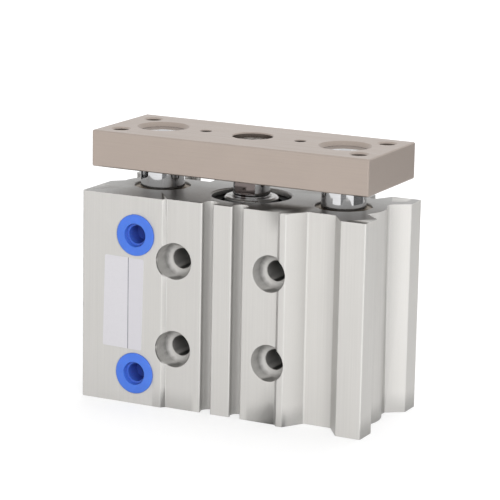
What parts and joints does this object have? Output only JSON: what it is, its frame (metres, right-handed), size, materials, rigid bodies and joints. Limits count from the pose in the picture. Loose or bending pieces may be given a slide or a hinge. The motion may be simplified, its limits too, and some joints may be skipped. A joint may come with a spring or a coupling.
{
  "type": "guided pneumatic cylinder",
  "caption": "Compact pneumatic cylinder with twin guide rods: extruded body with switch grooves and T-slots, capped ports, and an end plate that slides out on its rods.",
  "frame": {"origin": "centre of the body's bottom face, midway between its four tapped holes", "axes": "+Z along the stroke towards the end plate, -Y out of the face with the ports, +X along the body's width away from the ports"},
  "size_m": [0.083, 0.0365, 0.073],
  "materials": {
    "body_anodised": "satin clear anodised extrusion with machined ends",
    "plate_nickel": "satin nickel plated, ground faces",
    "rod_chrome": "hard chrome plated and polished",
    "collar_metal": "turned",
    "bushing_bronze": "plain bronze lining, machined",
    "ring_black": "black phosphated spring steel",
    "seal_rubber": "moulded nitrile rubber",
    "bumper_urethane": "moulded urethane",
    "cap_blue": "moulded soft plastic",
    "screw_steel": "plated steel",
    "piston_aluminium": "turned",
    "magnet_dark": "sintered magnet",
    "wear_resin": "plain resin strip",
    "felt": "oil soaked wool felt"
  },
  "bodies": {
    "cylinder_body": {"housing": "body_anodised", "rod_collar": "collar_metal", "rod_bushing": "bushing_bronze", "rod_seal": "seal_rubber", "collar_o_ring": "seal_rubber", "bumper_rod_side": "bumper_urethane", "retaining_ring_top": "ring_black", "head_cover": "collar_metal", "head_cover_o_ring": "seal_rubber", "bumper_head_side": "bumper_urethane", "retaining_ring_bottom": "ring_black", "port_cap_upper": "cap_blue", "port_cap_lower": "cap_blue", "guide_bushing_upper_left": "bushing_bronze", "guide_bushing_lower_left": "bushing_bronze", "oil_felt_left": "felt", "guide_bushing_upper_right": "bushing_bronze", "guide_bushing_lower_right": "bushing_bronze", "oil_felt_right": "felt"},
    "plate_assembly": {"end_plate": "plate_nickel", "plate_screw": "screw_steel", "guide_rod_left": "rod_chrome", "guide_rod_right": "rod_chrome", "piston_rod": "rod_chrome", "piston_upper": "piston_aluminium", "piston_lower": "piston_aluminium", "piston_nut": "screw_steel", "piston_seal": "seal_rubber", "magnet": "magnet_dark", "wear_ring": "wear_resin"}
  },
  "joints": [
    {"name": "plate_slide", "type": "slide", "parent": "cylinder_body", "child": "plate_assembly", "axis": [0, 0, 1], "range_m": [0, 0.02]}
  ]
}
